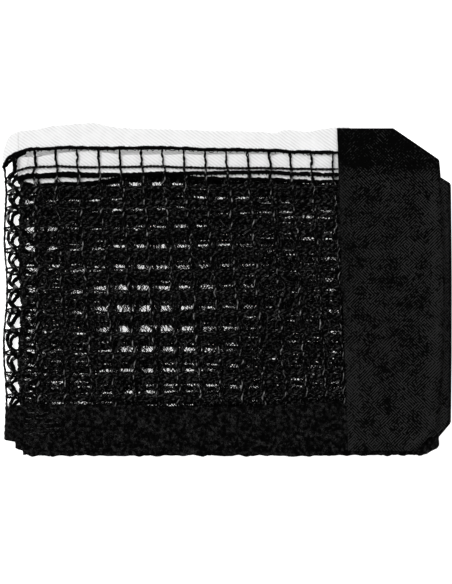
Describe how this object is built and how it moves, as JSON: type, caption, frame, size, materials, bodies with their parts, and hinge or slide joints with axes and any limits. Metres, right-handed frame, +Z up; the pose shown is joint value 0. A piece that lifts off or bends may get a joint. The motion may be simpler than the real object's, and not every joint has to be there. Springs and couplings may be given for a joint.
{
  "type": "table tennis net",
  "caption": "Table tennis net folded into a flat pack: white top tape, open black mesh, dense knitted lower band and black end sleeves that slide over the net posts.",
  "frame": {"origin": "middle of the underside of the folded pack, on the surface that it lies on", "axes": "+X along the net, from the folds towards the sleeves; +Y across the net, from the knitted band towards the white tape; +Z up, out of the surface that the pack lies on"},
  "size_m": [0.2088, 0.1526, 0.0173],
  "materials": {
    "white_tape": "matt white woven cotton tape",
    "black_mesh": "matt black knitted cord, slightly fuzzy",
    "knitted_band": "matt black dense warp knit",
    "sleeve_twill": "black twill with a faint sheen"
  },
  "bodies": {
    "rear_half": {"tape_3": "white_tape", "net_3": "black_mesh", "band_3": "knitted_band", "tape_6": "white_tape", "net_6": "black_mesh", "band_6": "knitted_band", "tape_7": "white_tape", "net_7": "black_mesh", "band_7": "knitted_band", "tape_2": "white_tape", "net_2": "black_mesh", "band_2": "knitted_band", "tape_fold_2_3": "white_tape", "net_fold_2_3": "black_mesh", "band_fold_2_3": "knitted_band", "tape_fold_6_7": "white_tape", "net_fold_6_7": "black_mesh", "band_fold_6_7": "knitted_band", "tape_fold_1_2": "white_tape", "net_fold_1_2": "black_mesh", "band_fold_1_2": "knitted_band", "tape_fold_7_8": "white_tape", "net_fold_7_8": "black_mesh", "band_fold_7_8": "knitted_band", "tape_fold_5_6": "white_tape", "net_fold_5_6": "black_mesh", "band_fold_5_6": "knitted_band", "tape_fold_3_4": "white_tape", "net_fold_3_4": "black_mesh", "band_fold_3_4": "knitted_band"},
    "front_half": {"tape_1": "white_tape", "net_1": "black_mesh", "band_1": "knitted_band", "tape_8": "white_tape", "net_8": "black_mesh", "band_8": "knitted_band", "tape_5": "white_tape", "net_5": "black_mesh", "band_5": "knitted_band", "tape_4": "white_tape", "net_4": "black_mesh", "band_4": "knitted_band", "tape_fold_4_5": "white_tape", "net_fold_4_5": "black_mesh", "band_fold_4_5": "knitted_band", "upper_sleeve_front": "sleeve_twill", "upper_sleeve_back": "sleeve_twill", "upper_sleeve_seam": "sleeve_twill", "lower_sleeve_front": "sleeve_twill", "lower_sleeve_back": "sleeve_twill", "lower_sleeve_seam": "sleeve_twill"}
  },
  "joints": [
    {"name": "open_pack", "type": "hinge", "parent": "rear_half", "child": "front_half", "pos_m": [-0.09595, 0, 0.00865], "axis": [0, -1, 0], "range_deg": [0, 179], "deforming": ["tape_fold_1_2", "net_fold_1_2", "band_fold_1_2", "tape_fold_7_8", "net_fold_7_8", "band_fold_7_8", "tape_fold_5_6", "net_fold_5_6", "band_fold_5_6", "tape_fold_3_4", "net_fold_3_4", "band_fold_3_4"]}
  ]
}
